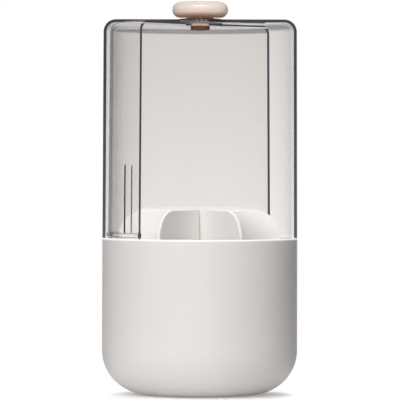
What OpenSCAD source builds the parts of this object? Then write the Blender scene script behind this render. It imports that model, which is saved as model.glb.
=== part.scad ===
// Round desktop organizer for brushes and tubes: a deep round bucket under a
// clear dome. The rear half of the dome is fixed to the bucket. The front half
// is a door that turns about the knob on top and slides in a track at the rim.
// The insert is three flat plates that slot together into a six-armed star.
// Front is -Y, rear is +Y, +Z is up, and the base stands on Z = 0.

/* [Bucket] */
// Outer radius of the bucket
bucket_r = 65; // [55:0.5:80]
// Height of the rim above the table
rim_z = 104.3; // [95:0.1:130]
// Radius of the large round at the foot of the wall
foot_round = 29.3; // [20:0.1:31]
// Wall thickness of the bucket
bucket_wall = 2.4; // [2:0.1:3]
// Thickness of the floor
floor_t = 2.6; // [2:0.1:4]
// Depth of the hollow under the floor
base_hollow = 1; // [0.5:0.1:2]
// Thickness of the rim band, which carries the fixed shell
rim_band_t = 3.1; // [2.8:0.1:3.4]
// Rounding of the rim's outer edge
rim_round = 1.2; // [0.4:0.1:1.4]
// How far the rubber feet lift the base off the table
foot_lift = 0.6; // [0.4:0.1:1.5]
// Diameter of each rubber foot
foot_d = 10; // [6:0.5:14]
// Number of rubber feet
foot_count = 4; // [3:1:6]

/* [Track] */
// Depth of the groove that guides the door
track_depth = 4.9; // [3:0.1:6]
// Width of the groove
track_w = 2.8; // [2.6:0.1:3.2]
// Thickness of the inner wall of the groove
track_wall = 1.8; // [1.2:0.1:2.4]
// Thickness of the floor of the groove
track_floor = 1.6; // [1.2:0.1:2.4]
// How far the inner wall stops short of the rim
track_drop = 0.5; // [0:0.1:1.5]

/* [Dome] */
// Height of the fixed shell's top above the table
dome_z = 250.1; // [220:0.1:300]
// Thickness of the clear shells
shell_t = 2; // [1.6:0.1:2.4]
// Outer radius of the fixed shell at the rim
fixed_r = 64.9; // [64:0.1:65]
// How much the fixed shell narrows up to its shoulder
fixed_draft = 0.5; // [0.2:0.1:1]
// Rounding of the fixed shell's shoulder
fixed_round = 8.3; // [6:0.1:12]
// Angle that the fixed shell spans
fixed_arc = 180; // [170:1:184]
// Width of one snap tab of the fixed shell
tab_w = 12; // [8:1:16]
// Depth of a snap tab below the rim
tab_depth = 4.6; // [3.6:0.1:4.7]

/* [Door] */
// Gap between the top plates of the door and the fixed shell
plate_gap = 0.7; // [0.6:0.1:2]
// Outer radius of the door at the rim
door_r = 61.4; // [61:0.1:61.5]
// How much the door narrows up to its shoulder
door_draft = 1.1; // [0.5:0.1:1.5]
// Rounding of the door's shoulder
door_round = 6; // [4:0.1:8]
// Angle that the door spans
door_arc = 190.2; // [184:0.2:196]
// Direction that the middle of the door faces as modelled, from +X
door_rest = 134.2; // [90:0.2:180]
// Furthest turn towards open from there
door_open_turn = 44.2; // [30:0.2:46]
// Furthest turn towards closed from there
door_close_turn = 135.8; // [90:0.2:136]
// Height of the bead above the rim
bead_h = 3.2; // [2:0.1:5]
// How far the bead stands out from the door, each side
bead_out = 0.8; // [0.4:0.1:0.9]
// Number of upright finger ribs beside the door's edge
rib_count = 2; // [1:1:5]
// Angle from one rib to the next
rib_pitch = 6.6; // [4:0.2:10]
// Height of the ribs above the rim
rib_h = 49; // [30:1:80]
// Radius of a rib
rib_r = 0.9; // [0.6:0.1:1]

/* [Knob] */
// Diameter of the knob
knob_d = 37.6; // [30:0.2:45]
// Height of the knob
knob_h = 12; // [10.5:0.1:16]
// Radius of the knob's round edge; the top and bottom are crowned up to meet it
knob_edge_r = 5.4; // [3:0.1:5.6]
// Diameter of the neck below the knob
neck_d = 8.8; // [8:0.1:10]
// Diameter of the neck's core, where it sits in the door's hub
core_d = 11.8; // [10.5:0.1:12]
// Distance across the two flats that key the core to the door
core_flats = 10; // [8:0.1:10.4]
// Running clearance between the neck and its bush, on the radius
neck_play = 0.05; // [0.02:0.01:0.1]
// Outer diameter of the bush
bush_d = 10.9; // [10.5:0.1:12]
// Number of knurled flutes round the bush
flute_count = 12; // [6:1:18]
// Diameter of the round hub of either shell
hub_d = 29.2; // [26:0.2:34]
// Diameter of the retaining cap
cap_d = 12.8; // [11:0.1:15]
// Height of the retaining cap
cap_h = 2.7; // [2.4:0.1:4]
// Thread diameter of the screw
screw_d = 3; // [2.5:0.5:4]

/* [Insert] */
// Thickness of the divider plates
plate_t = 2; // [1.6:0.1:3]
// How far the arms reach from the middle
arm_reach = 54.3; // [40:0.1:56]
// How far the insert stands above the rim
insert_above = 18.8; // [0:0.2:30]
// Rounding of the plates' corners
plate_round = 18.7; // [10:0.1:19]
// Play of one plate in the slot of another
slot_play = 0.2; // [0.1:0.05:0.4]

/* [Hidden] */
$fn = 96;
eps = 0.01;
over = 1;

// Bucket
base_z = foot_lift;
floor_z = base_z + base_hollow + floor_t;
foot_r = bucket_r - foot_round;
foot_ring_w = 4.5;
hollow_r = foot_r - foot_ring_w;
foot_pitch_r = hollow_r - foot_d / 2 - 1;
rim_inner_r = bucket_r - rim_band_t;
ledge_z = rim_z - track_depth - track_floor;
ledge_r = rim_inner_r - 1.7;
ledge_h = 4;
wall_r = bucket_r - bucket_wall;

// Track ring, which leaves the groove between itself and the rim band
ring_fit = 0.05;
groove_r = rim_inner_r - track_w;
ring_r = groove_r - track_wall;

// Fixed shell
fixed_inner_z = dome_z - shell_t;
hub_step = 0.1;
hub_r = hub_d / 2;
tab_t = 1.1;
tab_play = 0.1;
tab_r = fixed_r - shell_t + 0.1;
tab_angles = [20, 90, 160];
tab_z = rim_z - tab_depth;
barb_out = 0.6;
barb_w = 5;
barb_h = 1.5;

// Door
door_z = fixed_inner_z - plate_gap;
door_inner_z = door_z - shell_t;
door_from = door_rest - door_arc / 2;
door_to = door_rest + door_arc / 2;
door_foot_z = rim_z - track_depth + 0.5;
bead_z = rim_z + 0.8;
rib_seat = 0.3;
rib_taper = 1.6;

// Stops between the hubs
stop_r = [10.5, 13.5];
stop_arc = 12;
stop_h = 1.2;
stop_play = 0.3;
stop_play_arc = 0.3;

// Knob and what holds it
neck_r = neck_d / 2;
bush_bore_r = neck_r + neck_play;
bush_r = bush_d / 2;
flute_r = 0.45;
core_r = core_d / 2;
bush_flange_r = 9;
bush_flange_t = 0.8;
door_hub_z = door_z + hub_step;
fixed_hub_z = fixed_inner_z - hub_step;
washer_t = 0.4;
knob_z = dome_z + 0.3;
knob_seat_z = dome_z + bush_flange_t + 0.2;
neck_top_z = knob_seat_z + 1.2;
insert_r = 2.4;
insert_h = 6;
screw_r = screw_d / 2;
screw_head_r = 2.7;
screw_head_h = 1.2;
screw_slot_w = 0.7;
screw_washer_t = 0.4;
screw_washer_r = 3.1;
cap_z = door_inner_z - cap_h;
cap_pocket_r = 3.3;
cap_pocket_h = 1.9;
cap_round = 0.6;
screw_seat_z = cap_z + cap_pocket_h;

// Insert
insert_top_z = rim_z + insert_above;
insert_h_total = insert_top_z - floor_z;
slot_w = plate_t / sin(60) + plate_t / tan(60) + slot_play;

clear_tint = [0.86, 0.83, 0.81, 0.35];
body_white = [0.90, 0.89, 0.88];
insert_white = [0.89, 0.88, 0.86];
knob_pink = [0.90, 0.83, 0.79];
cap_brown = [0.48, 0.29, 0.20];

// Half section of a drafted dome, filled down to z_foot
module dome_outline(r_foot, draft, z_foot, z_top, round_r) {
  r_top = r_foot - draft;
  polygon([[0, z_foot], [r_foot, z_foot], [r_top, z_top - round_r], [0, z_top - round_r]]);
  translate([0, z_top - round_r])
    square([r_top - round_r, round_r]);
  translate([r_top - round_r, z_top - round_r])
    circle(r = round_r);
}

// Half section of a clear shell of even thickness
module shell_section(r_foot, draft, z_foot, z_top, round_r) {
  difference() {
    dome_outline(r_foot, draft, z_foot, z_top, round_r);
    dome_outline(r_foot - shell_t, draft, z_foot - over, z_top - shell_t, round_r - shell_t);
  }
}

// Ring sector: radii r0 to r1, heights z0 to z1, from angle a0 over arc
module sector(r0, r1, z0, z1, a0, arc) {
  rotate([0, 0, a0])
    rotate_extrude(angle = arc)
      translate([r0, z0])
        square([r1 - r0, z1 - z0]);
}

// Upright round disc or ring between two heights
module disc(r, z0, z1) {
  translate([0, 0, z0])
    cylinder(r = r, h = z1 - z0);
}

// Cylinder with two flats, which keys the neck to the door
module keyed_core(r, flats, z0, z1) {
  intersection() {
    disc(r, z0, z1);
    translate([-r, -flats / 2, z0 - over])
      cube([2 * r, flats, z1 - z0 + 2 * over]);
  }
}

// Outline of the bucket's outside, with its large foot round
module bucket_outline() {
  translate([0, base_z])
    square([foot_r, rim_z - base_z]);
  translate([0, base_z + foot_round])
    square([bucket_r, rim_z - rim_round - base_z - foot_round]);
  translate([foot_r, base_z + foot_round])
    circle(r = foot_round);
  translate([0, rim_z - rim_round - eps])
    square([bucket_r - rim_round, rim_round + eps]);
  translate([bucket_r - rim_round, rim_z - rim_round])
    circle(r = rim_round);
}

// Outline of the bucket's inside: the floor, the foot round and the wall
module bucket_hollow() {
  inner_round = foot_round - bucket_wall;
  intersection() {
    union() {
      translate([0, base_z + foot_round])
        square([wall_r, rim_z]);
      translate([0, base_z])
        square([foot_r, foot_round + eps]);
      translate([foot_r, base_z + foot_round])
        circle(r = inner_round);
    }
    translate([0, floor_z])
      square([wall_r, ledge_z - 2 * ledge_h - floor_z + eps]);
  }
}

// Outline of the mouth: a tapered ledge for the ring, then the rim band
module bucket_mouth() {
  polygon([
    [0, ledge_z - 2 * ledge_h], [wall_r, ledge_z - 2 * ledge_h],
    [ledge_r, ledge_z - ledge_h], [ledge_r, ledge_z],
    [rim_inner_r, ledge_z], [rim_inner_r, rim_z + over], [0, rim_z + over]
  ]);
}

module bucket_shell() {
  color(body_white)
    difference() {
      rotate_extrude()
        difference() {
          intersection() {
            bucket_outline();
            translate([0, base_z])
              square([bucket_r, rim_z]);
          }
          bucket_hollow();
          bucket_mouth();
          translate([0, base_z - over])
            square([hollow_r, base_hollow + over]);
        }
      for (a = tab_angles)
        tab_socket(a);
    }
}

// Upright flat block that faces outwards at angle a: from r0 to r1, from z0 to z1
module block(a, r0, r1, w, z0, z1) {
  rotate([0, 0, a])
    translate([r0, -w / 2, z0])
      cube([r1 - r0, w, z1 - z0]);
}

// Socket in the rim band for one snap tab, with the window its barb springs into
module tab_socket(a) {
  block(a, tab_r - tab_play, tab_r + tab_t + tab_play, tab_w + 2 * tab_play,
    tab_z - tab_play, rim_z + over);
  block(a, rim_inner_r - over, tab_r, barb_w + 2 * tab_play,
    tab_z - tab_play, tab_z + barb_h + tab_play);
}

module track_ring() {
  color(body_white)
    rotate_extrude() {
      translate([ring_r, ledge_z])
        square([rim_inner_r - ring_fit - ring_r, track_floor]);
      translate([ring_r, ledge_z])
        square([track_wall, rim_z - track_drop - ledge_z]);
    }
}

module foot_pads() {
  color([0.72, 0.71, 0.70])
    for (i = [0 : foot_count - 1])
      rotate([0, 0, (i + 0.5) * 360 / foot_count])
        translate([foot_pitch_r, 0, 0])
          cylinder(d = foot_d, h = base_z + base_hollow);
}

// One snap tab, with a barb that catches in the window of the rim band
module snap_tab(a) {
  block(a, tab_r, tab_r + tab_t, tab_w, tab_z, rim_z + over);
  block(a, tab_r - barb_out, tab_r + tab_t / 2, barb_w, tab_z, tab_z + barb_h);
}

module fixed_shell() {
  stop_half = stop_arc / 2 + stop_play_arc;
  color(clear_tint)
    difference() {
      union() {
        rotate([0, 0, 90 - fixed_arc / 2])
          rotate_extrude(angle = fixed_arc)
            shell_section(fixed_r, fixed_draft, rim_z, dome_z, fixed_round);
        disc(hub_r, fixed_hub_z, dome_z);
        for (a = tab_angles)
          snap_tab(a);
      }
      disc(bush_r, fixed_hub_z - over, dome_z + over);
      sector(stop_r[0] - stop_play, stop_r[1] + stop_play, fixed_hub_z - over,
        door_hub_z + stop_h + stop_play, door_rest - door_open_turn - stop_half,
        door_open_turn + door_close_turn + 2 * stop_half);
    }
}

module neck_bush() {
  color(knob_pink)
    difference() {
      union() {
        disc(bush_r, fixed_hub_z, dome_z + bush_flange_t);
        disc(bush_flange_r, dome_z, dome_z + bush_flange_t);
      }
      disc(bush_bore_r, fixed_hub_z - over, dome_z + bush_flange_t + over);
      for (i = [0 : flute_count - 1])
        rotate([0, 0, i * 360 / flute_count])
          translate([bush_r, 0, fixed_hub_z - over])
            cylinder(r = flute_r, h = dome_z - fixed_hub_z + over);
    }
}

// Bead along the foot of the door, which rides just above the rim
module door_bead() {
  bead_r = door_r - shell_t / 2;
  half_w = shell_t / 2 + bead_out;
  corner = half_w / 2;
  for (z = [bead_z + corner, bead_z + bead_h - corner], s = [-1, 1])
    translate([bead_r + s * (half_w - corner), z])
      circle(r = corner);
  translate([bead_r - half_w, bead_z + corner])
    square([2 * half_w, bead_h - 2 * corner]);
  translate([bead_r - half_w + corner, bead_z])
    square([2 * (half_w - corner), bead_h]);
}

// One upright finger rib, rounded outwards and tapered off at its top
module finger_rib(a) {
  rib_top = rim_z + rib_h;
  rotate([0, 0, a])
    translate([door_r - rib_seat, 0, 0]) {
      disc(rib_r, bead_z + bead_h / 2, rib_top);
      translate([0, 0, rib_top])
        cylinder(r1 = rib_r, r2 = rib_r / 3, h = rib_taper);
    }
}

module door_shell() {
  color(clear_tint)
    difference() {
      union() {
        rotate([0, 0, door_from])
          rotate_extrude(angle = door_arc) {
            shell_section(door_r, door_draft, door_foot_z, door_z, door_round);
            door_bead();
          }
        disc(hub_r, door_inner_z, door_hub_z);
        sector(stop_r[0], stop_r[1], door_hub_z - eps, door_hub_z + stop_h,
          door_rest - stop_arc / 2, stop_arc);
        for (i = [1 : rib_count])
          finger_rib(door_to - i * rib_pitch);
      }
      keyed_core(core_r, core_flats, door_inner_z - over, door_hub_z + over);
    }
}

module hub_washer() {
  color("white")
    difference() {
      disc(bush_flange_r, door_hub_z, door_hub_z + washer_t);
      disc(bush_bore_r, door_hub_z - over, door_hub_z + over);
    }
}

// Half section of the knob: a round edge that runs tangent into two shallow
// crowns, each cut flat over its last step at the axis
module knob_section() {
  edge_x = knob_d / 2 - knob_edge_r;
  half = knob_h / 2;
  crown_r = (edge_x * edge_x + half * half - knob_edge_r * knob_edge_r)
    / (2 * (half - knob_edge_r));
  turn = atan2(crown_r - half, edge_x);
  step = (90 - turn) / 4;
  function crown(a) = [crown_r * cos(a), half - crown_r + crown_r * sin(a)];
  top = [
    for (a = [0 : turn / 20 : turn])
      [edge_x + knob_edge_r * cos(a), knob_edge_r * sin(a)],
    for (i = [1 : 3])
      crown(turn + i * step),
    [0, crown(90 - step)[1]]
  ];
  bottom = [for (i = [len(top) - 1 : -1 : 1]) [top[i][0], -top[i][1]]];
  translate([0, knob_z + half])
    polygon(concat(bottom, top));
}

module knob() {
  color(knob_pink)
    difference() {
      rotate_extrude()
        knob_section();
      disc(bush_flange_r + 0.4, knob_z - over, knob_seat_z);
      disc(neck_r, knob_z, neck_top_z);
      disc(insert_r, knob_z, neck_top_z + insert_h);
    }
}

module knob_insert() {
  color("goldenrod")
    difference() {
      disc(insert_r, neck_top_z, neck_top_z + insert_h);
      disc(screw_r, neck_top_z - over, neck_top_z + insert_h - 0.6);
    }
}

module knob_neck() {
  color(knob_pink)
    difference() {
      union() {
        disc(neck_r, door_hub_z - over, neck_top_z);
        keyed_core(core_r, core_flats, door_inner_z, door_hub_z);
      }
      disc(screw_r, door_inner_z - over, neck_top_z + over);
    }
}

module retaining_cap() {
  color(cap_brown)
    difference() {
      rotate_extrude() {
        translate([0, cap_z])
          square([cap_d / 2 - cap_round, cap_h]);
        translate([0, cap_z + cap_round])
          square([cap_d / 2, cap_h - cap_round]);
        translate([cap_d / 2 - cap_round, cap_z + cap_round])
          circle(r = cap_round);
      }
      disc(cap_pocket_r, cap_z - over, screw_seat_z);
      disc(screw_r, cap_z, door_inner_z + over);
    }
}

module screw_washer() {
  color("silver")
    difference() {
      disc(screw_washer_r, screw_seat_z - screw_washer_t, screw_seat_z);
      disc(screw_r, cap_z, screw_seat_z + over);
    }
}

module cap_screw() {
  head_top_z = screw_seat_z - screw_washer_t;
  head_z = head_top_z - screw_head_h;
  color("silver")
    difference() {
      union() {
        disc(screw_head_r, head_z, head_top_z);
        disc(screw_r, head_z, neck_top_z + insert_h - 1.2);
      }
      for (a = [0, 90])
        rotate([0, 0, a])
          translate([-screw_head_r / 1.6, -screw_slot_w / 2, head_z - over])
            cube([2 * screw_head_r / 1.6, screw_slot_w, over + screw_head_h / 2]);
    }
}

// Flat outline of one divider plate, with all four corners rounded
module plate_outline() {
  half_x = arm_reach - plate_round;
  translate([-arm_reach, plate_round])
    square([2 * arm_reach, insert_h_total - 2 * plate_round]);
  translate([-half_x, 0])
    square([2 * half_x, insert_h_total]);
  for (x = [-half_x, half_x], z = [plate_round, insert_h_total - plate_round])
    translate([x, z])
      circle(r = plate_round);
}

// One divider plate: it is whole in its own third of the height, and slotted
// in the other two, where the other plates pass through it
module divider_plate(third, a) {
  third_h = insert_h_total / 3;
  color(insert_white)
    rotate([0, 0, a])
      translate([0, plate_t / 2, floor_z])
        rotate([90, 0, 0])
          linear_extrude(height = plate_t)
            difference() {
              plate_outline();
              if (third > 0)
                translate([-slot_w / 2, -over])
                  square([slot_w, third * third_h + over]);
              if (third < 2)
                translate([-slot_w / 2, (third + 1) * third_h])
                  square([slot_w, (2 - third) * third_h + over]);
            }
}

module divider_plate_low() {
  divider_plate(0, 0);
}

module divider_plate_mid() {
  divider_plate(1, 60);
}

module divider_plate_top() {
  divider_plate(2, 120);
}

bucket_shell();
track_ring();
foot_pads();
fixed_shell();
neck_bush();
door_shell();
hub_washer();
knob();
knob_insert();
knob_neck();
retaining_cap();
screw_washer();
cap_screw();
divider_plate_low();
divider_plate_mid();
divider_plate_top();
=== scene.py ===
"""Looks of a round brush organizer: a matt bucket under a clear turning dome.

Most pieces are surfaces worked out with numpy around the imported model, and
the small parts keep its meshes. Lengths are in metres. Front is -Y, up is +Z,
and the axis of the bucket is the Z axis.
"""
import math

import bmesh
import bpy
import numpy as np
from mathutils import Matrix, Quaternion, Vector


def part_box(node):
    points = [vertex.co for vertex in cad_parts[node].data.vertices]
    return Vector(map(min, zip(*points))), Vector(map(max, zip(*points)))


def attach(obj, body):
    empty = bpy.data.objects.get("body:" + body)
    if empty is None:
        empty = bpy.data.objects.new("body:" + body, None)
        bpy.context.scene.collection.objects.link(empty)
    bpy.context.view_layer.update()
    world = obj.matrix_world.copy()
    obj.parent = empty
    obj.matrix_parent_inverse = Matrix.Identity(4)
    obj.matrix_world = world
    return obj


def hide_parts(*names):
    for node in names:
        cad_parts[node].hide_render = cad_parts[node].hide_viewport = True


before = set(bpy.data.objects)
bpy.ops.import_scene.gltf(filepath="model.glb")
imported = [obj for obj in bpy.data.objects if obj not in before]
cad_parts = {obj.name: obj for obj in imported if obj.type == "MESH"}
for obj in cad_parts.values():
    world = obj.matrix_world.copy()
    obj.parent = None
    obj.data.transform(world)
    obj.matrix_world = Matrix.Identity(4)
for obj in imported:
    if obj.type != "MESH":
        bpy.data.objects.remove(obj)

MM = 0.001
TAU = 2 * math.pi
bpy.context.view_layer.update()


# ---------------------------------------------------------------- measures
def node_box(node):
    """Lowest and highest corner of a CAD node, as two arrays in metres."""
    low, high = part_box(node)
    return np.array(low), np.array(high)


bucket_lo, bucket_hi = node_box("bucket_shell")
fixed_hi = node_box("fixed_shell")[1]
door_lo = node_box("door_shell")[0]
knob_lo, knob_hi = node_box("knob")
plate_lo, plate_hi = node_box("divider_plate_low")
ring_lo, ring_hi = node_box("track_ring")

BUCKET_R = 65 * MM
RIM_Z = bucket_hi[2]
BASE_Z = bucket_lo[2]
DOME_Z = fixed_hi[2]
PLATE_GAP = 0.7 * MM
SHELL_T = 2 * MM
DOOR_Z = DOME_Z - SHELL_T - PLATE_GAP
DOOR_ARC = math.radians(190.2)
DOOR_REST = math.radians(134.2)
FIXED_FOOT_R = 64.9 * MM
FIXED_DRAFT = 0.5 * MM
FIXED_ROUND = 8.3 * MM
FIXED_BREAK_Z = RIM_Z + 6 * MM
DOOR_FOOT_R = 61.4 * MM
DOOR_DRAFT = 1.1 * MM
DOOR_ROUND = 6 * MM
EDGE_POLISH = 0.2 * MM
HUB_R = 14.6 * MM
HUB_STEP = 0.1 * MM
HUB_BAND = 0.5 * MM
HUB_BORE_R = 5.45 * MM
DOOR_BORE_R = 5.9 * MM
DOOR_BORE_FLATS = 10 * MM
DOOR_FROM = DOOR_REST - DOOR_ARC / 2
DOOR_HUB_Z = DOOR_Z + HUB_STEP
FIXED_HUB_Z = DOME_Z - SHELL_T - HUB_STEP
BEAD_H = 3.2 * MM
BEAD_Z = RIM_Z + 0.8 * MM + BEAD_H / 2
BEAD_HALF = SHELL_T / 2 + 0.8 * MM
RIB_TOP = RIM_Z + 49.6 * MM
RIB_TAPER = 1.6 * MM
RIB_RISE = 0.5 * MM
RIB_HALF = 1.2 * MM
RIB_ANGLES = DOOR_FROM + DOOR_ARC - np.radians([6.6, 13.2])
SEAT_GAP = 0.06 * MM
HAIR = 0.01 * MM
HAIR_TURN = 0.0005
STOP_HALF = math.radians(6)
STOP_PLAY = 0.3 * MM
STOP_TURN_PLAY = 0.02
STOP_H = 1.2 * MM
STOP_IN_R = 10.5 * MM
STOP_OUT_R = 13.5 * MM
STOP_LUG = (STOP_IN_R, STOP_OUT_R, DOOR_REST - STOP_HALF, DOOR_REST + STOP_HALF, STOP_H)
CHANNEL_FROM = math.radians(84)
CHANNEL_TO = math.radians(276)
STOP_CHANNEL = (STOP_IN_R - STOP_PLAY, STOP_OUT_R + STOP_PLAY,
                CHANNEL_FROM - STOP_TURN_PLAY, CHANNEL_TO + STOP_TURN_PLAY,
                DOOR_HUB_Z + STOP_H + STOP_PLAY - FIXED_HUB_Z)
KNOB_H = 12 * MM
KNOB_EDGE_R = 5.4 * MM
DIVIDER_ROUND = 18.7 * MM
SLOT_PLAY = 0.2 * MM


# ---------------------------------------------------------------- mesh tools
WELD_GAP = 0.002 * MM
# numbers of a clear shell's finishes, in the order of its materials
CLEAR_WALL, CUT_EDGE, HUB_FACE = range(3)


def weld(patches, name, finishes=()):
    """One closed mesh from grids of points: each grid of m x n points gives
    (m - 1) x (n - 1) quads, and points that meet are merged. Finishes gives the
    number of each patch's material."""
    points, faces, finish, start = [], [], [], 0
    for grid, number in zip(patches, finishes or [0] * len(patches)):
        rows, columns = grid.shape[:2]
        index = start + np.arange(rows * columns).reshape(rows, columns)
        corners = (index[:-1, :-1], index[1:, :-1], index[1:, 1:], index[:-1, 1:])
        faces.append(np.stack(corners, axis=-1).reshape(-1, 4))
        finish.append(np.full(len(faces[-1]), number, np.int32))
        points.append(grid.reshape(-1, 3))
        start += rows * columns
    mesh = bpy.data.meshes.new(name)
    mesh.from_pydata(np.concatenate(points).tolist(), [], np.concatenate(faces).tolist())
    mesh.polygons.foreach_set("material_index", np.concatenate(finish))
    work = bmesh.new()
    work.from_mesh(mesh)
    bmesh.ops.remove_doubles(work, verts=work.verts, dist=WELD_GAP)
    bmesh.ops.dissolve_degenerate(work, edges=work.edges, dist=WELD_GAP / 4)
    bmesh.ops.recalc_face_normals(work, faces=work.faces)
    work.to_mesh(mesh)
    work.free()
    return mesh


def mark_cut_edges(mesh):
    """Gives the edges round the cut faces a bevel weight of 1, and leaves every
    other edge of more than 30 degrees sharp."""
    loop_edge = np.empty(len(mesh.loops), np.int32)
    mesh.loops.foreach_get("edge_index", loop_edge)
    loops, finish = (np.empty(len(mesh.polygons), np.int32) for _ in range(2))
    mesh.polygons.foreach_get("loop_total", loops)
    mesh.polygons.foreach_get("material_index", finish)
    by_loop = np.repeat(finish == CUT_EDGE, loops)
    high = np.zeros(len(mesh.edges), np.float32)
    low = np.ones(len(mesh.edges), np.float32)
    np.maximum.at(high, loop_edge, by_loop)
    np.minimum.at(low, loop_edge, by_loop)
    weight = mesh.attributes.new("bevel_weight_edge", "FLOAT", "EDGE")
    weight.data.foreach_set("value", high - low)
    mesh.shade_smooth()
    mesh.set_sharp_from_angle(angle=math.radians(30))
    sharp = np.empty(len(mesh.edges), bool)
    mesh.attributes["sharp_edge"].data.foreach_get("value", sharp)
    mesh.attributes["sharp_edge"].data.foreach_set("value", sharp & (high == low))
    return mesh


def add_piece(mesh, body, materials, nodes=(), bevel=0.0, segments=2, sharp=35):
    """Puts a mesh in the scene as one named piece that rides on a body."""
    piece = bpy.data.objects.new(mesh.name, mesh)
    bpy.context.scene.collection.objects.link(piece)
    if "sharp_edge" not in mesh.attributes:
        mesh.shade_smooth()
    for material in materials:
        mesh.materials.append(material)
    if bevel:
        round_edges(piece, bevel, segments, sharp)
    else:
        mesh.set_sharp_from_angle(angle=math.radians(sharp))
    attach(piece, body)
    if nodes:
        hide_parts(*nodes)
    return piece


def round_edges(piece, width, segments, sharp):
    """A small moulded round along the edges with a bevel weight where the mesh has
    them, and else along every edge sharper than the given angle.
    """
    bevel = piece.modifiers.new("edge_round", "BEVEL")
    bevel.width = width
    bevel.segments = segments
    bevel.limit_method = "WEIGHT" if "bevel_weight_edge" in piece.data.attributes else "ANGLE"
    bevel.angle_limit = math.radians(sharp)
    bevel.harden_normals = True


def line(p, q, n):
    """n + 1 points from p to q along a straight line, in the (r, z) plane."""
    t = np.linspace(0, 1, n + 1)[:, None]
    return np.array(p) * (1 - t) + np.array(q) * t


def arc(centre, radius, start, end, n):
    """n + 1 points on a circle in the (r, z) plane, from start to end degrees."""
    a = np.radians(np.linspace(start, end, n + 1))
    return np.stack([centre[0] + radius * np.cos(a), centre[1] + radius * np.sin(a)], axis=-1)


def outline(*parts):
    """Parts of a profile joined end to end, with repeated points dropped."""
    points = np.concatenate(parts)
    gap = np.linalg.norm(np.diff(points, axis=0), axis=1)
    return points[np.concatenate([[True], gap > 1e-7])]


def turned(profile, angles):
    """Surface of revolution: the point (r, z) of the profile at angle a is
    (r cos a, r sin a, z)."""
    r, z = profile[None, :, 0], profile[None, :, 1]
    a = angles[:, None]
    return np.stack([r * np.cos(a), r * np.sin(a), z + 0 * a], axis=-1)


def full_turn(n=192):
    """n + 1 angles once round."""
    return np.linspace(0, TAU, n + 1)


def turned_piece(name, profile, n=192):
    """Mesh of a closed profile turned once about the Z axis."""
    return weld([turned(profile, full_turn(n))], name)


# ---------------------------------------------------------------- materials
ACRYLIC_IOR = 1.49
HUB_IOR = 1.1
SMOKE = (0.3, 0.25, 0.2)
SMOKE_PER_METRE = 8.0
LIP_SHINE = (0.8, 0.78, 0.76)
LIP_FADE = 0.1 * MM


def plain_material(name):
    """A new node material: returns it, its nodes, its links and its shader."""
    material = bpy.data.materials.new(name)
    material.use_nodes = True
    tree = material.node_tree
    return material, tree.nodes, tree.links, tree.nodes["Principled BSDF"]


def noise(nodes, links, scale, detail=3.0, stretch=(1, 1, 1)):
    """Noise on Object coordinates, stretched along the axes."""
    where = nodes.new("ShaderNodeTexCoord")
    mapping = nodes.new("ShaderNodeMapping")
    mapping.inputs["Scale"].default_value = stretch
    texture = nodes.new("ShaderNodeTexNoise")
    texture.inputs["Scale"].default_value = scale
    texture.inputs["Detail"].default_value = detail
    links.new(where.outputs["Object"], mapping.inputs["Vector"])
    links.new(mapping.outputs["Vector"], texture.inputs["Vector"])
    return texture


def math_node(nodes, links, kind, first, second):
    """One step of arithmetic on two values, each a number or a socket."""
    node = nodes.new("ShaderNodeMath")
    node.operation = kind
    for socket, value in zip(node.inputs, (first, second)):
        if isinstance(value, bpy.types.NodeSocket):
            links.new(value, socket)
        else:
            socket.default_value = value
    return node.outputs["Value"]


def up_the_piece(nodes, links, low, high):
    """0 to 1 with the height in the shared frame, between two heights."""
    where = nodes.new("ShaderNodeTexCoord")
    split = nodes.new("ShaderNodeSeparateXYZ")
    links.new(where.outputs["Object"], split.inputs["Vector"])
    scale = nodes.new("ShaderNodeMapRange")
    scale.inputs["From Min"].default_value = low
    scale.inputs["From Max"].default_value = high
    links.new(split.outputs["Z"], scale.inputs["Value"])
    return scale.outputs["Result"]


def eased(nodes, links, value, start, end, low=0.0, high=1.0):
    """A smooth step: low up to the start, high from the end on."""
    step = nodes.new("ShaderNodeMapRange")
    step.interpolation_type = "SMOOTHSTEP"
    step.inputs["From Min"].default_value = start
    step.inputs["From Max"].default_value = end
    step.inputs["To Min"].default_value = low
    step.inputs["To Max"].default_value = high
    links.new(value, step.inputs["Value"])
    return step.outputs["Result"]


def blended(nodes, links, share, first, second):
    """Two colours mixed, all of the second where the share is 1. Each is a
    colour or a socket."""
    mix = nodes.new("ShaderNodeMix")
    mix.data_type = "RGBA"
    links.new(share, mix.inputs["Factor"])
    for socket, colour in zip((mix.inputs["A"], mix.inputs["B"]), (first, second)):
        if isinstance(colour, tuple):
            socket.default_value = (*colour, 1)
        else:
            links.new(colour, socket)
    return mix.outputs["Result"]


def mixed(nodes, links, share, first, second):
    """Two shaders mixed: all of the second where the share is 1."""
    mix = nodes.new("ShaderNodeMixShader")
    links.new(share, mix.inputs["Fac"])
    links.new(first, mix.inputs[1])
    links.new(second, mix.inputs[2])
    return mix.outputs["Shader"]


def ramp(nodes, links, value, low, high, stops=(0.3, 0.7)):
    """Colours or greys from low to high as the value goes through the stops."""
    node = nodes.new("ShaderNodeValToRGB")
    for element, place, colour in zip(node.color_ramp.elements, stops, (low, high)):
        element.position = place
        element.color = (*colour, 1) if isinstance(colour, tuple) else (colour,) * 3 + (1,)
    links.new(value, node.inputs["Fac"])
    return node.outputs["Color"]


def bump(nodes, links, shader, height, strength, distance):
    """Bump from a height, given in metres of depth."""
    node = nodes.new("ShaderNodeBump")
    node.inputs["Strength"].default_value = strength
    node.inputs["Distance"].default_value = distance
    links.new(height, node.inputs["Height"])
    links.new(node.outputs["Normal"], shader.inputs["Normal"])


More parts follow.
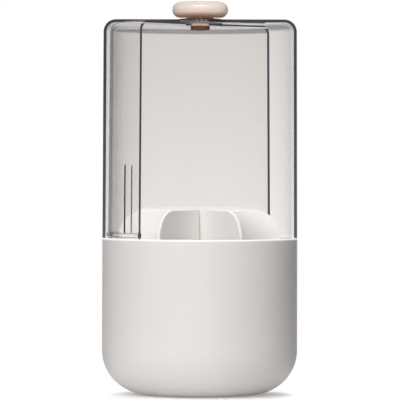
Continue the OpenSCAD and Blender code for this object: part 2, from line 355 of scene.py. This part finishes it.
def moulded_plastic(name, low, high, rough, grain=900.0, depth=4e-6, coat=0.0,
                    glow_through=0.0, spread=4 * MM, painted_glow=0.0):
    """Moulded plastic: a faint cloud in the colour, a slow change in the gloss
    and a spark-eroded grain, given by its fineness and its depth. The coat is
    lacquer. Glow_through is the share of light that soaks in, spread is how far
    it goes, and the last number is a painted glow in the plastic's own colour."""
    material, nodes, links, shader = plain_material(name)
    cloud = noise(nodes, links, 14.0)
    links.new(ramp(nodes, links, cloud.outputs["Fac"], low, high), shader.inputs["Base Color"])
    gloss = noise(nodes, links, 45.0)
    links.new(ramp(nodes, links, gloss.outputs["Fac"], rough[0], rough[1]), shader.inputs["Roughness"])
    fine = noise(nodes, links, grain, detail=2.0)
    bump(nodes, links, shader, fine.outputs["Fac"], 0.6, depth)
    shader.inputs["Subsurface Weight"].default_value = glow_through
    shader.inputs["Subsurface Radius"].default_value = (1, 1, 1)
    shader.inputs["Subsurface Scale"].default_value = spread
    shader.inputs["Emission Color"].default_value = (*high, 1)
    shader.inputs["Emission Strength"].default_value = painted_glow
    shader.inputs["Coat Weight"].default_value = coat
    shader.inputs["Coat Roughness"].default_value = 0.08
    return material


def own_colour(material):
    """The socket that a material's colour comes from."""
    return material.node_tree.nodes["Principled BSDF"].inputs["Base Color"].links[0].from_socket


def repaint(material, colour):
    """Gives a material another colour, and the light that it carries too."""
    shader = material.node_tree.nodes["Principled BSDF"]
    material.node_tree.links.new(colour, shader.inputs["Base Color"])
    material.node_tree.links.new(colour, shader.inputs["Emission Color"])


def painted_light_by_height(material, colour, start, end):
    """Paints light or shade into the material's colour by height: the given colour
    at the start and beyond it, the plastic's own at the end."""
    nodes, links = material.node_tree.nodes, material.node_tree.links
    height = up_the_piece(nodes, links, start, end)
    repaint(material, blended(nodes, links, height, colour, own_colour(material)))


def painted_gleam_streaks(material, colour, scale, share):
    """Paints upright streaks of the given colour over the plastic's own: painted
    highlights, the upright gleams of a sleeve."""
    nodes, links = material.node_tree.nodes, material.node_tree.links
    gleam_noise = noise(nodes, links, scale, detail=1.0, stretch=(1, 1, 0.02))
    streaks = eased(nodes, links, gleam_noise.outputs["Fac"], 0.5, 0.62, high=share)
    repaint(material, blended(nodes, links, streaks, own_colour(material), colour))


def clear_plastic(name, foot, head, ior=ACRYLIC_IOR):
    """Clear moulded plastic whose colour changes from the foot to the head: a warm
    tint of its own, and painted shade where it darkens towards the head. It also
    dims light by how far it runs inside."""
    material, nodes, links, shader = plain_material(name)
    shader.inputs["Transmission Weight"].default_value = 1
    shader.inputs["IOR"].default_value = ior
    height = up_the_piece(nodes, links, RIM_Z, DOME_Z)
    links.new(ramp(nodes, links, height, foot, head, (0.0, 1.0)), shader.inputs["Base Color"])
    haze = noise(nodes, links, 30.0)
    links.new(ramp(nodes, links, haze.outputs["Fac"], 0.0, 0.02), shader.inputs["Roughness"])
    volume = nodes.new("ShaderNodeVolumeAbsorption")
    volume.inputs["Color"].default_value = (*SMOKE, 1)
    volume.inputs["Density"].default_value = SMOKE_PER_METRE
    links.new(volume.outputs["Volume"], nodes["Material Output"].inputs["Volume"])
    return material


def cut_edge(name, foot, head, lip=None):
    """Polished cut edge of clear plastic, opaque and painted dark in place of the
    shade that light caught inside the wall gives it: one shade near the foot,
    another near the head. A lip, given by two heights, is a painted highlight: the
    band of a top plate's edge that shines light."""
    material, nodes, links, shader = plain_material(name)
    height = up_the_piece(nodes, links, RIM_Z, DOME_Z)
    cloud = noise(nodes, links, 60.0, stretch=(1, 1, 0.25))
    patchy = math_node(nodes, links, "MULTIPLY", cloud.outputs["Fac"], 0.3)
    shade = ramp(nodes, links, math_node(nodes, links, "ADD", patchy, height), foot, head, (0.1, 0.9))
    if lip:
        above = up_the_piece(nodes, links, lip[0], lip[0] + LIP_FADE)
        below = up_the_piece(nodes, links, lip[1], lip[1] - LIP_FADE)
        band = math_node(nodes, links, "MULTIPLY", above, below)
        shade = blended(nodes, links, band, shade, LIP_SHINE)
    links.new(shade, shader.inputs["Base Color"])
    links.new(ramp(nodes, links, cloud.outputs["Fac"], 0.2, 0.3), shader.inputs["Roughness"])
    shader.inputs["IOR"].default_value = ACRYLIC_IOR
    return material


def metal(name, colour, rough):
    """Turned metal with fine rings round the Z axis and faint wear."""
    material, nodes, links, shader = plain_material(name)
    shader.inputs["Metallic"].default_value = 1
    cloud = noise(nodes, links, 300.0)
    dark = tuple(0.85 * c for c in colour)
    links.new(ramp(nodes, links, cloud.outputs["Fac"], dark, colour), shader.inputs["Base Color"])
    links.new(ramp(nodes, links, cloud.outputs["Fac"], rough[0], rough[1]), shader.inputs["Roughness"])
    fine = noise(nodes, links, 400.0, stretch=(1, 1, 12))
    bump(nodes, links, shader, fine.outputs["Fac"], 0.3, 5e-6)
    return material


BUCKET_WHITE = moulded_plastic("bucket_plastic", (0.81, 0.788, 0.782), (0.83, 0.808, 0.802), (0.42, 0.5))
# painted highlight: the top round of the rim is painted near white, lighter than the bucket
painted_light_by_height(BUCKET_WHITE, (0.99, 0.97, 0.95), RIM_Z - 0.6 * MM, RIM_Z - 1.6 * MM)
INSERT_WHITE = moulded_plastic("insert_plastic", (0.865, 0.85, 0.835), (0.885, 0.87, 0.855), (0.3, 0.4),
                               glow_through=0.5)
KNOB_PINK = moulded_plastic("knob_plastic", (0.83, 0.68, 0.61), (0.86, 0.715, 0.65), (0.16, 0.22),
                            depth=1e-6, coat=1.0, glow_through=0.6, spread=6 * MM)
KNOB_LACQUER = KNOB_PINK.node_tree.nodes["Principled BSDF"]
KNOB_LACQUER.inputs["Specular IOR Level"].default_value = 0.05
KNOB_LACQUER.inputs["Coat IOR"].default_value = 1.75
# painted shade: the underside of the knob is painted a deep brown
painted_light_by_height(KNOB_PINK, (0.42, 0.19, 0.09), knob_lo[2] + 0.9 * MM, knob_lo[2] + 4 * MM)
# painted shade: the top of the knob is painted a darker, greyer pink
painted_light_by_height(KNOB_PINK, (0.56, 0.49, 0.455), knob_hi[2], knob_hi[2] - 5 * MM)
# painted glow: the neck plastic shines faintly in its own colour though it is no lamp
NECK_PINK = moulded_plastic("neck_plastic", (0.89, 0.73, 0.63), (0.92, 0.76, 0.66), (0.3, 0.4),
                            painted_glow=0.06)
# painted shade: the top of the neck, in the shadow of the knob, is painted dark brown
painted_light_by_height(NECK_PINK, (0.2, 0.1, 0.06), DOME_Z - 0.95 * SHELL_T, DOME_Z - 1.35 * SHELL_T)
# painted highlights: pale upright gleams on the neck
painted_gleam_streaks(NECK_PINK, (0.9, 0.79, 0.7), 600.0, 0.4)
CAP_BROWN = moulded_plastic("cap_plastic", (0.115, 0.043, 0.019), (0.14, 0.055, 0.025), (0.25, 0.35),
                            depth=1e-6)
WASHER_WHITE = moulded_plastic("washer_nylon", (0.74, 0.71, 0.66), (0.78, 0.75, 0.70), (0.4, 0.5))
FOOT_RUBBER = moulded_plastic("foot_rubber", (0.40, 0.39, 0.38), (0.45, 0.44, 0.43), (0.7, 0.8),
                              grain=500.0, depth=2e-5)
# painted shade: the fixed shell darkens from the foot to the head
CLEAR = clear_plastic("clear_plastic", (0.955, 0.942, 0.924), (0.752, 0.735, 0.728))
DOOR_CLEAR = clear_plastic("door_plastic", (0.99, 0.985, 0.975), (0.995, 0.983, 0.976))
HUB_CLEAR = clear_plastic("clear_hub", (0.975, 0.97, 0.96), (0.95, 0.94, 0.93), HUB_IOR)
# painted glow: the clear hub shines faintly pink-white though it is no lamp
HUB_GLOW = HUB_CLEAR.node_tree.nodes["Principled BSDF"]
HUB_GLOW.inputs["Emission Color"].default_value = (0.95, 0.88, 0.86, 1)
HUB_GLOW.inputs["Emission Strength"].default_value = 0.02
# painted shade: the cut edges of the shells are opaque and painted dark, mauve near the foot and navy near
# the head, and the door's top edge has a band of painted highlight
EDGE = cut_edge("clear_plastic_edge", (0.11, 0.088, 0.09), (0.046, 0.044, 0.06))
DOOR_EDGE = cut_edge("door_edge", (0.12, 0.095, 0.095), (0.085, 0.08, 0.105),
                     (DOOR_Z - SHELL_T, DOOR_Z - 0.55 * SHELL_T))
STEEL = metal("screw_steel", (0.62, 0.62, 0.63), (0.2, 0.35))
BRASS = metal("insert_brass", (0.72, 0.52, 0.22), (0.25, 0.4))


# ---------------------------------------------------------------- bucket
WALL_T = 2.4 * MM
WALL_R = BUCKET_R - WALL_T
FOOT_ROUND = 29.3 * MM
FOOT_R = BUCKET_R - FOOT_ROUND
RIM_ROUND = 1.2 * MM
HOLLOW_R = FOOT_R - 4.5 * MM
HOLLOW_H = 1 * MM
FLOOR_Z = BASE_Z + HOLLOW_H + 2.6 * MM
RIM_INNER_R = BUCKET_R - 3.1 * MM
LEDGE_Z = ring_lo[2]
LEDGE_R = RIM_INNER_R - 1.7 * MM
LEDGE_H = 4 * MM
GROOVE_R = RIM_INNER_R - 2.8 * MM
RING_R = GROOVE_R - 1.8 * MM
RING_PLAY = 0.05 * MM
TRACK_FLOOR = 1.6 * MM
PAD_R = 5 * MM
PAD_ROUND = 0.4 * MM


def bucket_profile():
    """Closed half section of the bucket, up the outside, over the rim and
    down the inside, ending in the hollow under the floor."""
    inner = FOOT_ROUND - WALL_T
    centre = (FOOT_R, BASE_Z + FOOT_ROUND)
    floor_reach = math.sqrt(inner ** 2 - (centre[1] - FLOOR_Z) ** 2)
    floor_angle = -math.degrees(math.acos(floor_reach / inner))
    return outline(
        line((0, BASE_Z + HOLLOW_H), (HOLLOW_R, BASE_Z + HOLLOW_H), 12),
        line((HOLLOW_R, BASE_Z + HOLLOW_H), (HOLLOW_R, BASE_Z), 1),
        line((HOLLOW_R, BASE_Z), (FOOT_R, BASE_Z), 2),
        arc(centre, FOOT_ROUND, -90, 0, 32),
        line((BUCKET_R, centre[1]), (BUCKET_R, RIM_Z - RIM_ROUND), 24),
        arc((BUCKET_R - RIM_ROUND, RIM_Z - RIM_ROUND), RIM_ROUND, 0, 90, 6),
        line((BUCKET_R - RIM_ROUND, RIM_Z), (RIM_INNER_R, RIM_Z), 2),
        line((RIM_INNER_R, RIM_Z), (RIM_INNER_R, LEDGE_Z), 4),
        line((RIM_INNER_R, LEDGE_Z), (LEDGE_R, LEDGE_Z), 1),
        line((LEDGE_R, LEDGE_Z), (LEDGE_R, LEDGE_Z - LEDGE_H), 2),
        line((LEDGE_R, LEDGE_Z - LEDGE_H), (WALL_R, LEDGE_Z - 2 * LEDGE_H), 2),
        line((WALL_R, LEDGE_Z - 2 * LEDGE_H), (WALL_R, centre[1]), 16),
        arc(centre, inner, 0, floor_angle, 20),
        line((FOOT_R + floor_reach, FLOOR_Z), (0, FLOOR_Z), 12),
    )


def ring_profile():
    """Closed half section of the ring that makes the inside of the track."""
    top = ring_hi[2]
    outer = RIM_INNER_R - RING_PLAY
    floor_top = LEDGE_Z + TRACK_FLOOR
    return outline(
        line((outer, LEDGE_Z), (outer, floor_top), 1),
        line((outer, floor_top), (GROOVE_R, floor_top), 1),
        line((GROOVE_R, floor_top), (GROOVE_R, top), 1),
        line((GROOVE_R, top), (RING_R, top), 1),
        line((RING_R, top), (RING_R, LEDGE_Z), 1),
        line((RING_R, LEDGE_Z), (outer, LEDGE_Z), 1),
    )


def foot_pads():
    """Four round pads in the hollow of the base, each a small turned disc."""
    pad_lo, pad_hi = node_box("foot_pads")
    reach = pad_hi[0] - PAD_R
    disc = outline(
        line((0, pad_lo[2]), (PAD_R - PAD_ROUND, pad_lo[2]), 2),
        arc((PAD_R - PAD_ROUND, pad_lo[2] + PAD_ROUND), PAD_ROUND, -90, 0, 4),
        line((PAD_R, pad_lo[2] + PAD_ROUND), (PAD_R, pad_hi[2]), 1),
        line((PAD_R, pad_hi[2]), (0, pad_hi[2]), 2),
    )
    surface = turned(disc, full_turn(48))
    corners = [(sx * reach, sy * reach, 0) for sx in (-1, 1) for sy in (-1, 1)]
    return weld([surface + np.array(c) for c in corners], "foot_pads_rubber")


# ---------------------------------------------------------------- clear shells
def shell_profiles(foot_r, draft, foot_z, top_z, round_r, breaks=(), bead=()):
    """Outer and inner profile of a drafted shell, as matching rows of points,
    from the hub outwards and down to the foot, with a row at each break."""
    def side(offset, way):
        top_r = foot_r - draft - offset
        round_in = round_r - offset
        knee = top_z - round_r
        foot = foot_r - offset

        def wall(high, low):
            r = np.interp([low, high], [foot_z, knee], [foot, top_r])
            return line((r[1], high), (r[0], low), max(2, int((high - low) / (2.5 * MM))))

        parts = [
            line((HUB_R, top_z - offset), (top_r - round_in, top_z - offset), 24),
            arc((top_r - round_in, knee), round_in, 90, 0, 16),
        ]
        levels = [knee, *breaks]
        parts += [wall(high, low) for high, low in zip(levels, levels[1:])]
        if bead:
            parts += bead_rows(foot_r - SHELL_T / 2, way, *bead)
            levels.append(bead[0] - bead[1] / 2)
        parts.append(wall(levels[-1], foot_z))
        return outline(*parts)
    return side(0.0, 1), side(SHELL_T, -1)


def bead_rows(middle_r, way, middle_z, height, half_width):
    """One side of the bead: a quarter circle, a straight part and a quarter circle."""
    corner = half_width / 2
    centre = (middle_r + way * corner, middle_z + height / 2 - corner)
    start, end = (86, 0) if way > 0 else (94, 180)
    upper = arc(centre, corner, start, end, 6)
    lower = upper[::-1] * (1, -1) + (0, 2 * middle_z)
    return [upper, lower]


def ribbed(surface, ribs, low, high, rise, half):
    """Raises finger ribs on an upright surface: at arc length s from its line a
    rib stands rise * (1 + cos(pi s / half)) / 2 proud, and it tapers off on top."""
    radius = np.hypot(surface[..., 0], surface[..., 1])
    angle = np.arctan2(surface[..., 1], surface[..., 0])
    z = surface[..., 2]
    within = np.clip((high - z) / RIB_TAPER, 0, 1) * (z > low)
    away = np.min([np.abs((angle - rib + math.pi) % TAU - math.pi) for rib in ribs], axis=0)
    lift = rise * (1 + np.cos(math.pi * np.minimum(radius * away / half, 1))) / 2
    surface[..., :2] *= (1 + within * lift / radius)[..., None]
    return surface


def stepped_hub(hole, z, angles, step):
    """Hub face at height z from the hole outwards, which is higher by the
    step's lift between the radii and the angles of the step."""
    r0, r1, a0, a1, lift = step
    hole_r = hole(angles)[:, None]
    rings = np.array([r0, r0 + HAIR, r1, r1 + HAIR, HUB_R])
    t = np.arange(4)[None, :] / 4
    r = np.concatenate([hole_r + t * (r0 - hole_r), np.tile(rings, (len(angles), 1))], axis=1)
    a = angles[:, None]
    on_step = (r > r0 + HAIR / 2) & (r < r1 + HAIR / 2) & (a > a0 - HAIR_TURN) & (a < a1 + HAIR_TURN)
    return np.stack([r * np.cos(a), r * np.sin(a), z + lift * on_step], axis=-1)


def upright(r, z0, z1, angles):
    """Upright wall at radius r, which may change with the angle, from z0 to z1."""
    z = np.array([[z0, z1]])
    r = np.broadcast_to(r, angles.shape)[:, None]
    a = angles[:, None]
    return np.stack([r * np.cos(a) + 0 * z, r * np.sin(a) + 0 * z, z + 0 * a], axis=-1)


def between(first, second, a):
    """Flat cut face at angle a between two matching profiles."""
    grid = np.stack([first, second])
    r, z = grid[..., 0], grid[..., 1]
    return np.stack([r * math.cos(a), r * math.sin(a), z], axis=-1)


def dome_shell(name, profiles, a0, arc_span, hub_z0, hub_z1, hole, step, top_step, ribs=()):
    """A clear shell with a round hub. The shell is a profile turned over an
    arc, and the hub is a full disc between two heights. The hole gives its
    radius by angle. The step gives two radii, two angles and a lift, and stands
    on the hub's top or is sunk into its underside."""
    outer, inner = profiles
    a1 = a0 + arc_span
    near_ribs = np.ravel([rib + np.linspace(-1, 1, 15) * RIB_HALF / BUCKET_R for rib in ribs])
    at_step = [step[2] - 2 * HAIR_TURN, step[2], step[3], step[3] + 2 * HAIR_TURN]
    parts = [np.linspace(a0, a1, 145), np.linspace(a1, a0 + TAU, 129), near_ribs, at_step]
    full = np.unique(np.concatenate(parts))
    over_arc, rest = full[full <= a1], full[full >= a1]
    skin = turned(outer, over_arc)
    if len(ribs):
        skin = ribbed(skin, ribs, BEAD_Z + BEAD_H / 2 - HAIR, RIB_TOP, RIB_RISE, RIB_HALF)
    flat = (*step[:4], 0.0)
    plate = (outer[0, 1] - SHELL_T, outer[0, 1])
    brow = plate[1] - HUB_BAND
    patches = [between(outer, inner, a) for a in (a0, a1)]
    patches += [skin, turned(inner, over_arc)]
    patches.append(turned(np.stack([outer[-1], inner[-1]]), over_arc))
    patches.append(stepped_hub(hole, hub_z1, full, step if top_step else flat))
    patches.append(stepped_hub(hole, hub_z0, full, flat if top_step else step))
    patches.append(upright(hole(full), hub_z0, hub_z1, full))
    for low, high in ((hub_z0, plate[0]), (plate[1], hub_z1)):
        if high - low > 1e-6:
            patches.append(upright(HUB_R, low, high, full))
    patches.append(upright(HUB_R, plate[0], brow, rest))
    hub_patches = len(patches) - 5
    # painted shade: the top band of the hub's rim takes the dark finish of the cut edges
    patches.append(upright(HUB_R, brow, plate[1], rest))
    finishes = [CUT_EDGE] * 2 + [CLEAR_WALL] * 3 + [HUB_FACE] * hub_patches + [CUT_EDGE]
    return mark_cut_edges(weld(patches, name, finishes))


def round_hole(radius):
    """The same radius at every angle."""
    return lambda a: np.full_like(a, radius)


def keyed_hole(radius, flats):
    """A round hole with two flats across Y: r = min(radius, flats / 2 / |sin a|)."""
    return lambda a: np.minimum(radius, flats / 2 / np.maximum(np.abs(np.sin(a)), 1e-6))


def knob_mesh():
    """The knob: a round edge of radius r about (x, 0), tangent to two crowns
    of radius R = (x^2 + h^2 - r^2) / (2 (h - r)), turned once."""
    half = KNOB_H / 2
    x = (knob_hi[0] - knob_lo[0]) / 2 - KNOB_EDGE_R
    crown_r = (x ** 2 + half ** 2 - KNOB_EDGE_R ** 2) / (2 * (half - KNOB_EDGE_R))
    turn = math.degrees(math.atan2(crown_r - half, x))
    middle = knob_hi[2] - half
    profile = outline(
        arc((0, middle - half + crown_r), crown_r, -90, -turn, 16),
        arc((x, middle), KNOB_EDGE_R, -turn, turn, 48),
        arc((0, middle + half - crown_r), crown_r, turn, 90, 16),
    )
    return turned_piece("knob_pebble", profile)


def plate_mesh(name, third, turn):
    """One divider plate: a rounded rectangle, given a thickness and turned about
    the Z axis. Its slots run up to third / 3 of the height and down to
    (third + 1) / 3, so that three plates cross on the axis."""
    reach = plate_hi[0]
    low, high = plate_lo[2], plate_hi[2]
    height = high - low
    thick = plate_hi[1] - plate_lo[1]
    slot = thick / math.sin(TAU / 6) + thick / math.tan(TAU / 6) + SLOT_PLAY
    left, right = -reach + DIVIDER_ROUND, reach - DIVIDER_ROUND
    foot, head = low + DIVIDER_ROUND, high - DIVIDER_ROUND
    bottom_slot = [(-slot / 2, low), (-slot / 2, low + third * height / 3),
                   (slot / 2, low + third * height / 3), (slot / 2, low)]
    top_slot = [(slot / 2, high), (slot / 2, low + (third + 1) * height / 3),
                (-slot / 2, low + (third + 1) * height / 3), (-slot / 2, high)]
    parts = [arc((left, foot), DIVIDER_ROUND, 180, 270, 20)]
    if third > 0:
        parts.append(np.array(bottom_slot))
    parts.append(arc((right, foot), DIVIDER_ROUND, 270, 360, 20))
    parts.append(arc((right, head), DIVIDER_ROUND, 0, 90, 20))
    if third < 2:
        parts.append(np.array(top_slot))
    parts.append(arc((left, head), DIVIDER_ROUND, 90, 180, 20))
    loop = outline(*parts)
    n = len(loop)
    c, s = math.cos(turn), math.sin(turn)
    x, z = loop[:, 0], loop[:, 1]
    sides = [np.stack([x * c - y * s, x * s + y * c, z], axis=-1) for y in (-thick / 2, thick / 2)]
    points = np.concatenate(sides)
    near, far = np.arange(n), np.arange(n) + n
    walls = np.stack([near, np.roll(near, -1), np.roll(far, -1), far], axis=-1).tolist()
    mesh = bpy.data.meshes.new(name)
    mesh.from_pydata(points.tolist(), [], [*walls, near[::-1].tolist(), far.tolist()])
    work = bmesh.new()
    work.from_mesh(mesh)
    bmesh.ops.recalc_face_normals(work, faces=work.faces)
    work.to_mesh(mesh)
    work.free()
    return mesh


add_piece(turned_piece("bucket", bucket_profile(), 256), "bucket",
          [BUCKET_WHITE], ["bucket_shell"])
add_piece(turned_piece("track_ring_moulding", ring_profile()), "bucket",
          [BUCKET_WHITE], ["track_ring"], bevel=0.25 * MM)
add_piece(foot_pads(), "bucket", [FOOT_RUBBER], ["foot_pads"])
fixed_profiles = shell_profiles(FIXED_FOOT_R, FIXED_DRAFT, RIM_Z + SEAT_GAP, DOME_Z, FIXED_ROUND,
                                (FIXED_BREAK_Z,))
fixed_dome = add_piece(
    dome_shell("fixed_dome", fixed_profiles, 0.0, math.pi, FIXED_HUB_Z, DOME_Z,
               round_hole(HUB_BORE_R), STOP_CHANNEL, False),
    "bucket", [CLEAR, EDGE, HUB_CLEAR], ["fixed_shell"], bevel=EDGE_POLISH)
door_profiles = shell_profiles(DOOR_FOOT_R, DOOR_DRAFT, door_lo[2], DOOR_Z, DOOR_ROUND,
                               (RIB_TOP, RIB_TOP - RIB_TAPER, BEAD_Z + BEAD_H / 2),
                               (BEAD_Z, BEAD_H, BEAD_HALF))
door_dome = add_piece(
    dome_shell("door_dome", door_profiles, DOOR_FROM, DOOR_ARC, DOOR_Z - SHELL_T, DOOR_HUB_Z,
               keyed_hole(DOOR_BORE_R, DOOR_BORE_FLATS), STOP_LUG, True, ribs=RIB_ANGLES),
    "door", [DOOR_CLEAR, DOOR_EDGE, HUB_CLEAR], ["door_shell"], bevel=EDGE_POLISH)
# clear plastic lets soft light in without a shade
for shell in (fixed_dome, door_dome):
    shell.visible_shadow = False
    shell.visible_diffuse = False
add_piece(knob_mesh(), "door", [KNOB_PINK], ["knob"])
for third, node in enumerate(("divider_plate_low", "divider_plate_mid", "divider_plate_top")):
    add_piece(plate_mesh(node + "_moulding", third, third * TAU / 6), "divider",
              [INSERT_WHITE], [node], bevel=0.4 * MM, segments=3, sharp=50)

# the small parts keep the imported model's meshes and only take a finish
for node, material in (("neck_bush", NECK_PINK), ("knob_neck", NECK_PINK), ("hub_washer", WASHER_WHITE),
                       ("retaining_cap", CAP_BROWN), ("screw_washer", STEEL), ("cap_screw", STEEL),
                       ("knob_insert", BRASS)):
    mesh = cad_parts[node].data
    mesh.materials.clear()
    mesh.materials.append(material)


# ---------------------------------------------------------------- stage
def towards(azimuth, elevation):
    """Unit vector from the object: azimuth 0 is the front, 90 is the right."""
    a, e = math.radians(azimuth), math.radians(elevation)
    return (math.sin(a) * math.cos(e), -math.cos(a) * math.cos(e), math.sin(e))


def soft_box(nodes, links, way, aim, tightness, strength):
    """Glow of one large soft light in the world: strength * max(0, way . aim) ^ tightness."""
    dot = nodes.new("ShaderNodeVectorMath")
    dot.operation = "DOT_PRODUCT"
    links.new(way, dot.inputs[0])
    dot.inputs[1].default_value = towards(*aim)
    facing = math_node(nodes, links, "MAXIMUM", dot.outputs["Value"], 0)
    glow = math_node(nodes, links, "POWER", facing, tightness)
    return math_node(nodes, links, "MULTIPLY", glow, strength)


def seen_directly(nodes, links, kinds=("Is Camera Ray", "Is Transmission Ray", "Is Glossy Ray")):
    """1 for rays from the camera, or bent or mirrored on their way from it, and
    0 for rays that carry light from one matt surface to another."""
    path = nodes.new("ShaderNodeLightPath")
    total = path.outputs[kinds[0]]
    for kind in kinds[1:]:
        total = math_node(nodes, links, "MAXIMUM", total, path.outputs[kind])
    matt = math_node(nodes, links, "MINIMUM", path.outputs["Diffuse Depth"], 1)
    return math_node(nodes, links, "MULTIPLY", total, math_node(nodes, links, "SUBTRACT", 1, matt))


def straight_on(nodes, links):
    """1 for rays from the camera that are at most bent on their way, and 0 for
    rays that a surface has sent back."""
    through = seen_directly(nodes, links, ("Is Camera Ray", "Is Transmission Ray"))
    bounces = math_node(nodes, links, "MINIMUM", nodes.new("ShaderNodeLightPath").outputs["Glossy Depth"], 1)
    return math_node(nodes, links, "MULTIPLY", through, math_node(nodes, links, "SUBTRACT", 1, bounces))


# aim (azimuth, elevation), tightness and strength of each soft light
SOFT_BOXES = (
    ((-17, 15), 16, 6.3),
    ((-15, 45), 14, 2.0),
    ((180, 55), 40, 8.0),
    ((0, 90), 30, 4.6),
    ((70, 25), 3, 0.09),
    ((180, 12), 14, 2.8),
)

# the light that mirrors see, written as above. Heights here and below are the
# sine of the elevation
STRIP_BOX = ((-3, 46), 30, 14.0)
STRIP_HEIGHT = 0.72
STRIP_EDGE = (0.03, 0.1)
BACKDROP_EDGE = (0.85, 0.97)
ROOM_RISE = (0.1, 0.5)
ROOM_LIGHT = (0.1, 0.6)
CEILING_RISE = (0.046, 0.1)
CEILING_LIGHT = 0.45

# the floor's half width, and the distances over which its paper and its shadow end
FLOOR_REACH = 600 * MM
PAPER_FADE = (60 * MM, 130 * MM)
SHADOW_FADE = (75 * MM, 160 * MM)


def mirrored_room(nodes, links, way, rise):
    """What mirrors see: the white backdrop behind the object, a dim room that
    is lighter above and below, and one wide strip of light above the front."""
    beside = math_node(nodes, links, "SUBTRACT", rise, STRIP_HEIGHT)
    beside = math_node(nodes, links, "ABSOLUTE", beside, 0)
    strip = eased(nodes, links, beside, *STRIP_EDGE, 1, 0)
    wide = soft_box(nodes, links, way, *STRIP_BOX)
    gleam = math_node(nodes, links, "MULTIPLY", wide, strip)
    behind = soft_box(nodes, links, way, (180, 0), 1, 1.0)
    backdrop = eased(nodes, links, behind, *BACKDROP_EDGE)
    steep = math_node(nodes, links, "ABSOLUTE", rise, 0)
    room = eased(nodes, links, steep, *ROOM_RISE, *ROOM_LIGHT)
    return math_node(nodes, links, "MAXIMUM", backdrop, math_node(nodes, links, "ADD", room, gleam))


def studio_world():
    """A world of soft lights for matt surfaces. The eye sees white instead,
    dimmed above where clear plastic bends the view up, and mirrors see a room."""
    world = bpy.data.worlds.new("studio")
    bpy.context.scene.world = world
    world.use_nodes = True
    nodes, links = world.node_tree.nodes, world.node_tree.links
    way = nodes.new("ShaderNodeTexCoord").outputs["Generated"]
    lights = soft_box(nodes, links, way, *SOFT_BOXES[0])
    for box in SOFT_BOXES[1:]:
        lights = math_node(nodes, links, "ADD", lights, soft_box(nodes, links, way, *box))
    split = nodes.new("ShaderNodeSeparateXYZ")
    links.new(way, split.inputs["Vector"])
    rise = split.outputs["Z"]
    straight = straight_on(nodes, links)
    ceiling = eased(nodes, links, rise, *CEILING_RISE, 1, CEILING_LIGHT)
    bent = math_node(nodes, links, "MULTIPLY", straight, ceiling)
    through = math_node(nodes, links, "MAXIMUM", bent, seen_directly(nodes, links, ("Is Camera Ray",)))
    turned_back = math_node(nodes, links, "SUBTRACT", 1, straight)
    mirrored = mirrored_room(nodes, links, way, rise)
    sent_back = math_node(nodes, links, "MULTIPLY", mirrored, turned_back)
    background = nodes["Background"]
    background.inputs["Color"].default_value = (1, 0.985, 0.97, 1)
    links.new(lights, background.inputs["Strength"])
    scenery = nodes.new("ShaderNodeBackground")
    scenery.inputs["Color"].default_value = (1, 1, 1, 1)
    links.new(math_node(nodes, links, "MAXIMUM", through, sent_back), scenery.inputs["Strength"])
    shown = mixed(nodes, links, seen_directly(nodes, links), background.outputs["Background"],
                  scenery.outputs["Background"])
    links.new(shown, nodes["World Output"].inputs["Surface"])


def fading_out(nodes, links, near, far):
    """0 to 1 with the distance from the object, between two distances."""
    where = nodes.new("ShaderNodeTexCoord")
    distance = nodes.new("ShaderNodeVectorMath")
    distance.operation = "LENGTH"
    links.new(where.outputs["Object"], distance.inputs[0])
    return eased(nodes, links, distance.outputs["Value"], near, far)


def glowing_paper(nodes, links, colour, glow):
    """Matt paper of a grey colour that also glows a little."""
    paper = nodes.new("ShaderNodeBsdfDiffuse")
    paper.inputs["Color"].default_value = (colour, colour, colour, 1)
    light = nodes.new("ShaderNodeEmission")
    light.inputs["Strength"].default_value = glow
    both = nodes.new("ShaderNodeAddShader")
    links.new(paper.outputs["BSDF"], both.inputs[0])
    links.new(light.outputs["Emission"], both.inputs[1])
    return both.outputs["Shader"]


def studio_floor():
    """A pale floor. To the eye it is white with the object's soft shadow, which
    fades out with distance. To the light it is white paper on a darker table."""
    mesh = bpy.data.meshes.new("floor")
    corners = [(x * FLOOR_REACH, y * FLOOR_REACH, 0) for x, y in ((-1, -1), (1, -1), (1, 1), (-1, 1))]
    mesh.from_pydata(corners, [], [(0, 1, 2, 3)])
    floor = bpy.data.objects.new("floor", mesh)
    bpy.context.scene.collection.objects.link(floor)
    material, nodes, links, shader = plain_material("floor_paper")
    mesh.materials.append(material)
    nodes.remove(shader)
    paper = glowing_paper(nodes, links, 0.75, 0.06)
    table = glowing_paper(nodes, links, 0.3, 0.0)
    lit = mixed(nodes, links, fading_out(nodes, links, *PAPER_FADE), paper, table)
    shade = glowing_paper(nodes, links, 0.95, 0.26)
    white = glowing_paper(nodes, links, 0.0, 1.0)
    shown = mixed(nodes, links, fading_out(nodes, links, *SHADOW_FADE), shade, white)
    surface = mixed(nodes, links, straight_on(nodes, links), lit, shown)
    links.new(surface, nodes["Material Output"].inputs["Surface"])


def camera():
    """A long lens a little above the middle, square on to the front."""
    place = Vector((0, -2.333, 0.1484))
    target = Vector((0.0001, 0, 0.1297))
    roll = math.radians(0.12)
    data = bpy.data.cameras.new("camera")
    data.lens = 315
    data.sensor_width = 36
    cam = bpy.data.objects.new("camera", data)
    bpy.context.scene.collection.objects.link(cam)
    cam.rotation_mode = "QUATERNION"
    cam.location = place
    cam.rotation_quaternion = (target - place).to_track_quat("-Z", "Y") @ Quaternion((0, 0, 1), roll)
    bpy.context.scene.camera = cam


def lamp_beside_knob():
    """A small soft lamp on the right that fills the knob's shaded side."""
    data = bpy.data.lights.new("knob_fill", "AREA")
    data.size = 60 * MM
    data.energy = 0.06
    place = Vector((0.13, -0.08, 0.29))
    lamp = bpy.data.objects.new("knob_fill", data)
    bpy.context.scene.collection.objects.link(lamp)
    lamp.location = place
    lamp.rotation_mode = "QUATERNION"
    lamp.rotation_quaternion = (Vector((0, 0, knob_lo[2])) - place).to_track_quat("-Z", "Y")
    lamp.visible_camera = False
    lamp.visible_glossy = False
    lamp.visible_transmission = False


studio_world()
studio_floor()
lamp_beside_knob()
camera()
bpy.context.scene.view_settings.view_transform = "Standard"
